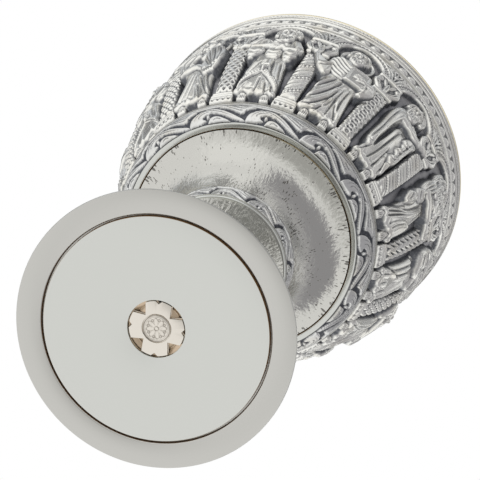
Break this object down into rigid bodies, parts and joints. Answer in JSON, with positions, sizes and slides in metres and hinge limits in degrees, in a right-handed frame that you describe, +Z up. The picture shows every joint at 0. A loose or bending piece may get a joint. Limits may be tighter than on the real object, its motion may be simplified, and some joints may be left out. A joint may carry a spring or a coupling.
{
  "type": "chalice",
  "caption": "Footed cup with a hammered stem and knop, and an arcade of standing figures between patterned columns round the bowl.",
  "frame": {"origin": "centre of the foot's underside, on the surface that it stands on", "axes": "+Z up the stem to the rim; -Y faces the picture's near side of the bowl"},
  "size_m": [0.1255, 0.1257, 0.2113],
  "materials": {
    "satin_silver": "silver plate over turned brass, satin brushed round the axis",
    "polished_silver": "silver plate over brass, polished",
    "hammered_silver": "silver plate over spun brass, planished with a hammer and polished",
    "relief_silver": "silver plate over cast brass, chased, with dark oxidised recesses",
    "oxidised_silver": "silver plate over brass, oxidised dark behind the relief",
    "raw_brass": "turned brass",
    "gilt": "gold plate over spun brass, polished",
    "steel": "plain threaded rod"
  },
  "bodies": {
    "chalice": {"foot_rim": "satin_silver", "base_plate": "polished_silver", "stem_ring": "polished_silver", "collar_ring": "polished_silver", "plain_ring": "polished_silver", "rim_band": "polished_silver", "foot_shell": "hammered_silver", "lower_stem": "hammered_silver", "knop": "hammered_silver", "upper_stem": "hammered_silver", "stem_flare": "hammered_silver", "bowl_flare": "hammered_silver", "leaf_collar": "relief_silver", "scroll_band": "relief_silver", "arcade": "relief_silver", "bead_band": "relief_silver", "column_01": "relief_silver", "column_02": "relief_silver", "column_03": "relief_silver", "column_04": "relief_silver", "column_05": "relief_silver", "column_06": "relief_silver", "column_07": "relief_silver", "column_08": "relief_silver", "column_09": "relief_silver", "column_10": "relief_silver", "column_11": "relief_silver", "column_12": "relief_silver", "column_13": "relief_silver", "figure_01": "relief_silver", "figure_02": "relief_silver", "figure_03": "relief_silver", "figure_04": "relief_silver", "figure_05": "relief_silver", "figure_06": "relief_silver", "figure_07": "relief_silver", "figure_08": "relief_silver", "figure_09": "relief_silver", "figure_10": "relief_silver", "figure_11": "relief_silver", "figure_12": "relief_silver", "figure_13": "relief_silver", "frieze_wall": "oxidised_silver", "nut_cup": "raw_brass", "spacer_tube": "raw_brass", "cup_boss": "raw_brass", "inner_cup": "gilt", "tie_rod": "steel"},
    "fixing_nut": {"fixing_nut": "polished_silver", "nut_medallion": "polished_silver"}
  },
  "joints": [
    {"name": "nut_turn", "type": "hinge", "parent": "chalice", "child": "fixing_nut", "pos_m": [0, 0, 0.0033], "axis": [0, 0, 1], "continuous": true}
  ]
}
